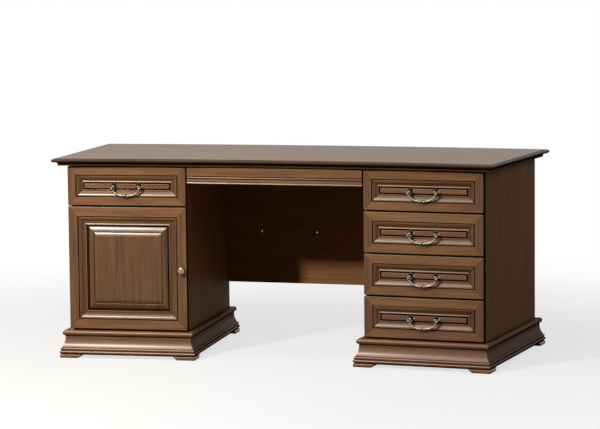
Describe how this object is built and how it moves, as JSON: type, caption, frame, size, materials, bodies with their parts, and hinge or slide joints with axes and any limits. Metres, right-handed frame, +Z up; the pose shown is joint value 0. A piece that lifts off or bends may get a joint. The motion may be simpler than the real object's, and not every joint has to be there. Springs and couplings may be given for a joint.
{
  "type": "computer desk",
  "caption": "Arc-plan twin-pedestal computer desk with splayed drawer and cupboard pedestals, moulded plinths, bail pulls and a pull-out keyboard tray.",
  "frame": {"origin": "on the floor under the middle of the desk's bounding box", "axes": "+X along the desk to the sitter's right, +Y to the back, +Z up"},
  "size_m": [1.822, 0.8036, 0.76],
  "materials": {
    "stained_walnut": "satin lacquer over dark glaze",
    "polished_walnut": "high-gloss lacquer",
    "walnut_veneer": "satin lacquer",
    "drawer_wood": "clear matt lacquer",
    "antique_bronze": "aged, rubbed highlights",
    "antique_brass": "aged satin",
    "zinc_steel": "zinc plated"
  },
  "bodies": {
    "desk": {"desktop": "polished_walnut", "top_screws": "zinc_steel", "top_rails": "walnut_veneer", "left_hinge_plates": "zinc_steel", "left_shelf": "walnut_veneer", "left_shelf_pins": "zinc_steel", "left_outer_side": "walnut_veneer", "left_inner_side": "walnut_veneer", "left_bottom": "walnut_veneer", "left_back": "walnut_veneer", "left_plinth": "stained_walnut", "right_outer_side": "walnut_veneer", "right_inner_side": "walnut_veneer", "right_bottom": "walnut_veneer", "right_back": "walnut_veneer", "right_plinth": "stained_walnut", "feet": "stained_walnut", "left_divider": "walnut_veneer", "modesty_panel": "walnut_veneer", "modesty_screws": "zinc_steel", "tray_channels": "zinc_steel", "tray_hangers": "drawer_wood", "drawer_runners": "drawer_wood"},
    "tray": {"tray_fascia": "stained_walnut", "tray_shelf": "stained_walnut", "tray_slides": "zinc_steel"},
    "door": {"door_frame": "stained_walnut", "door_panel": "stained_walnut", "door_knob": "antique_brass"},
    "left_drawer": {"left_drawer_front_frame": "stained_walnut", "left_drawer_front_panel": "stained_walnut", "left_drawer_box": "drawer_wood", "left_drawer_floor": "drawer_wood", "left_drawer_pull_posts": "antique_bronze"},
    "left_drawer_pull": {"left_drawer_bail": "antique_bronze"},
    "right_drawer_4": {"right_drawer_4_front_frame": "stained_walnut", "right_drawer_4_front_panel": "stained_walnut", "right_drawer_4_box": "drawer_wood", "right_drawer_4_floor": "drawer_wood", "right_drawer_4_pull_posts": "antique_bronze"},
    "right_drawer_4_pull": {"right_drawer_4_bail": "antique_bronze"},
    "right_drawer_3": {"right_drawer_3_front_frame": "stained_walnut", "right_drawer_3_front_panel": "stained_walnut", "right_drawer_3_box": "drawer_wood", "right_drawer_3_floor": "drawer_wood", "right_drawer_3_pull_posts": "antique_bronze"},
    "right_drawer_3_pull": {"right_drawer_3_bail": "antique_bronze"},
    "right_drawer_2": {"right_drawer_2_front_frame": "stained_walnut", "right_drawer_2_front_panel": "stained_walnut", "right_drawer_2_box": "drawer_wood", "right_drawer_2_floor": "drawer_wood", "right_drawer_2_pull_posts": "antique_bronze"},
    "right_drawer_2_pull": {"right_drawer_2_bail": "antique_bronze"},
    "right_drawer_1": {"right_drawer_1_front_frame": "stained_walnut", "right_drawer_1_front_panel": "stained_walnut", "right_drawer_1_box": "drawer_wood", "right_drawer_1_floor": "drawer_wood", "right_drawer_1_pull_posts": "antique_bronze"},
    "right_drawer_1_pull": {"right_drawer_1_bail": "antique_bronze"}
  },
  "joints": [
    {"name": "tray_slide", "type": "slide", "parent": "desk", "child": "tray", "axis": [0, -1, 0], "range_m": [0, 0.28]},
    {"name": "door_hinge", "type": "hinge", "parent": "desk", "child": "door", "pos_m": [-0.79891, -0.34347, 0.3425], "axis": [0, 0, -1], "range_deg": [0, 110]},
    {"name": "left_drawer_slide", "type": "slide", "parent": "desk", "child": "left_drawer", "axis": [0.0802, -0.9968, 0], "range_m": [0, 0.43]},
    {"name": "left_drawer_pull_swing", "type": "hinge", "parent": "left_drawer", "child": "left_drawer_pull", "pos_m": [-0.57287, -0.34735, 0.65425], "axis": [-0.9968, -0.0802, 0], "range_deg": [0, 95]},
    {"name": "right_drawer_4_slide", "type": "slide", "parent": "desk", "child": "right_drawer_4", "axis": [-0.0802, -0.9968, 0], "range_m": [0, 0.43]},
    {"name": "right_drawer_4_pull_swing", "type": "hinge", "parent": "right_drawer_4", "child": "right_drawer_4_pull", "pos_m": [0.57287, -0.34735, 0.1855], "axis": [-0.9968, 0.0802, 0], "range_deg": [0, 95]},
    {"name": "right_drawer_3_slide", "type": "slide", "parent": "desk", "child": "right_drawer_3", "axis": [-0.0802, -0.9968, 0], "range_m": [0, 0.43]},
    {"name": "right_drawer_3_pull_swing", "type": "hinge", "parent": "right_drawer_3", "child": "right_drawer_3_pull", "pos_m": [0.57287, -0.34735, 0.3425], "axis": [-0.9968, 0.0802, 0], "range_deg": [0, 95]},
    {"name": "right_drawer_2_slide", "type": "slide", "parent": "desk", "child": "right_drawer_2", "axis": [-0.0802, -0.9968, 0], "range_m": [0, 0.43]},
    {"name": "right_drawer_2_pull_swing", "type": "hinge", "parent": "right_drawer_2", "child": "right_drawer_2_pull", "pos_m": [0.57287, -0.34735, 0.4995], "axis": [-0.9968, 0.0802, 0], "range_deg": [0, 95]},
    {"name": "right_drawer_1_slide", "type": "slide", "parent": "desk", "child": "right_drawer_1", "axis": [-0.0802, -0.9968, 0], "range_m": [0, 0.43]},
    {"name": "right_drawer_1_pull_swing", "type": "hinge", "parent": "right_drawer_1", "child": "right_drawer_1_pull", "pos_m": [0.57287, -0.34735, 0.65425], "axis": [-0.9968, 0.0802, 0], "range_deg": [0, 95]}
  ]
}
